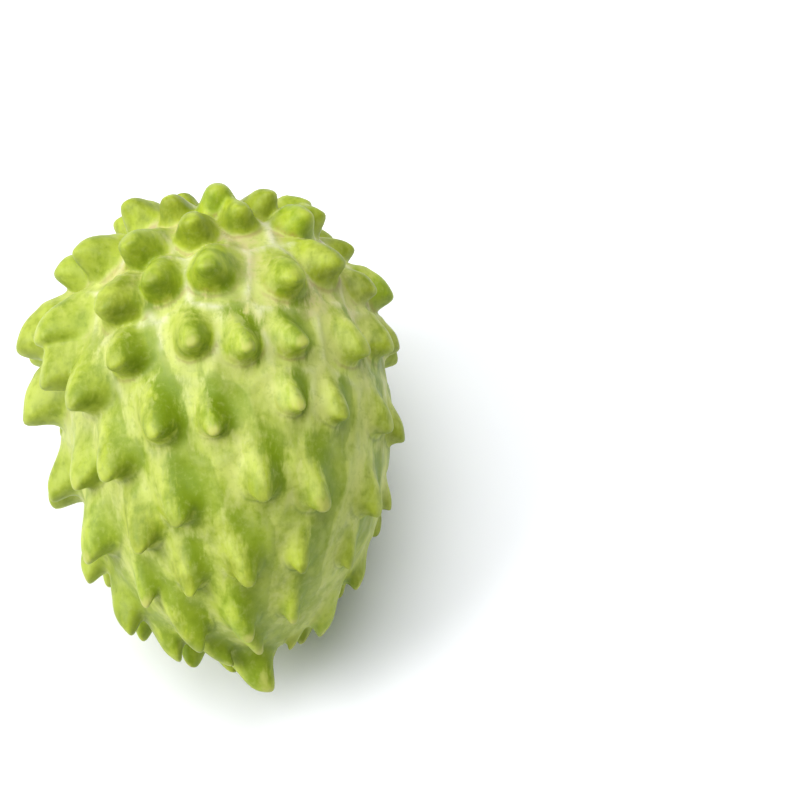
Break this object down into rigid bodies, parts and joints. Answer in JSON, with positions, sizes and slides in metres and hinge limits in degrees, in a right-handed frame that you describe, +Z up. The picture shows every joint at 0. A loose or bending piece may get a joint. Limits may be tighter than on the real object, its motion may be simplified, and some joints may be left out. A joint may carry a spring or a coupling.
{
  "type": "atemoya",
  "caption": "Whole atemoya lying on its side: a pale green egg-shaped fruit covered in blunt hooded spines, with a stub of stalk.",
  "frame": {"origin": "on the surface that the fruit lies on, under the middle of its box", "axes": "+Z up; the fruit lies along Y, with its stalk end to +Y and its apex to -Y, a little down"},
  "size_m": [0.0978, 0.127, 0.0975],
  "materials": {
    "skin": "soft waxy sheen over fine mottling, green on the spines and pale cream-green in the net between them"
  },
  "bodies": {
    "root": {"fruit": "skin"}
  },
  "joints": []
}
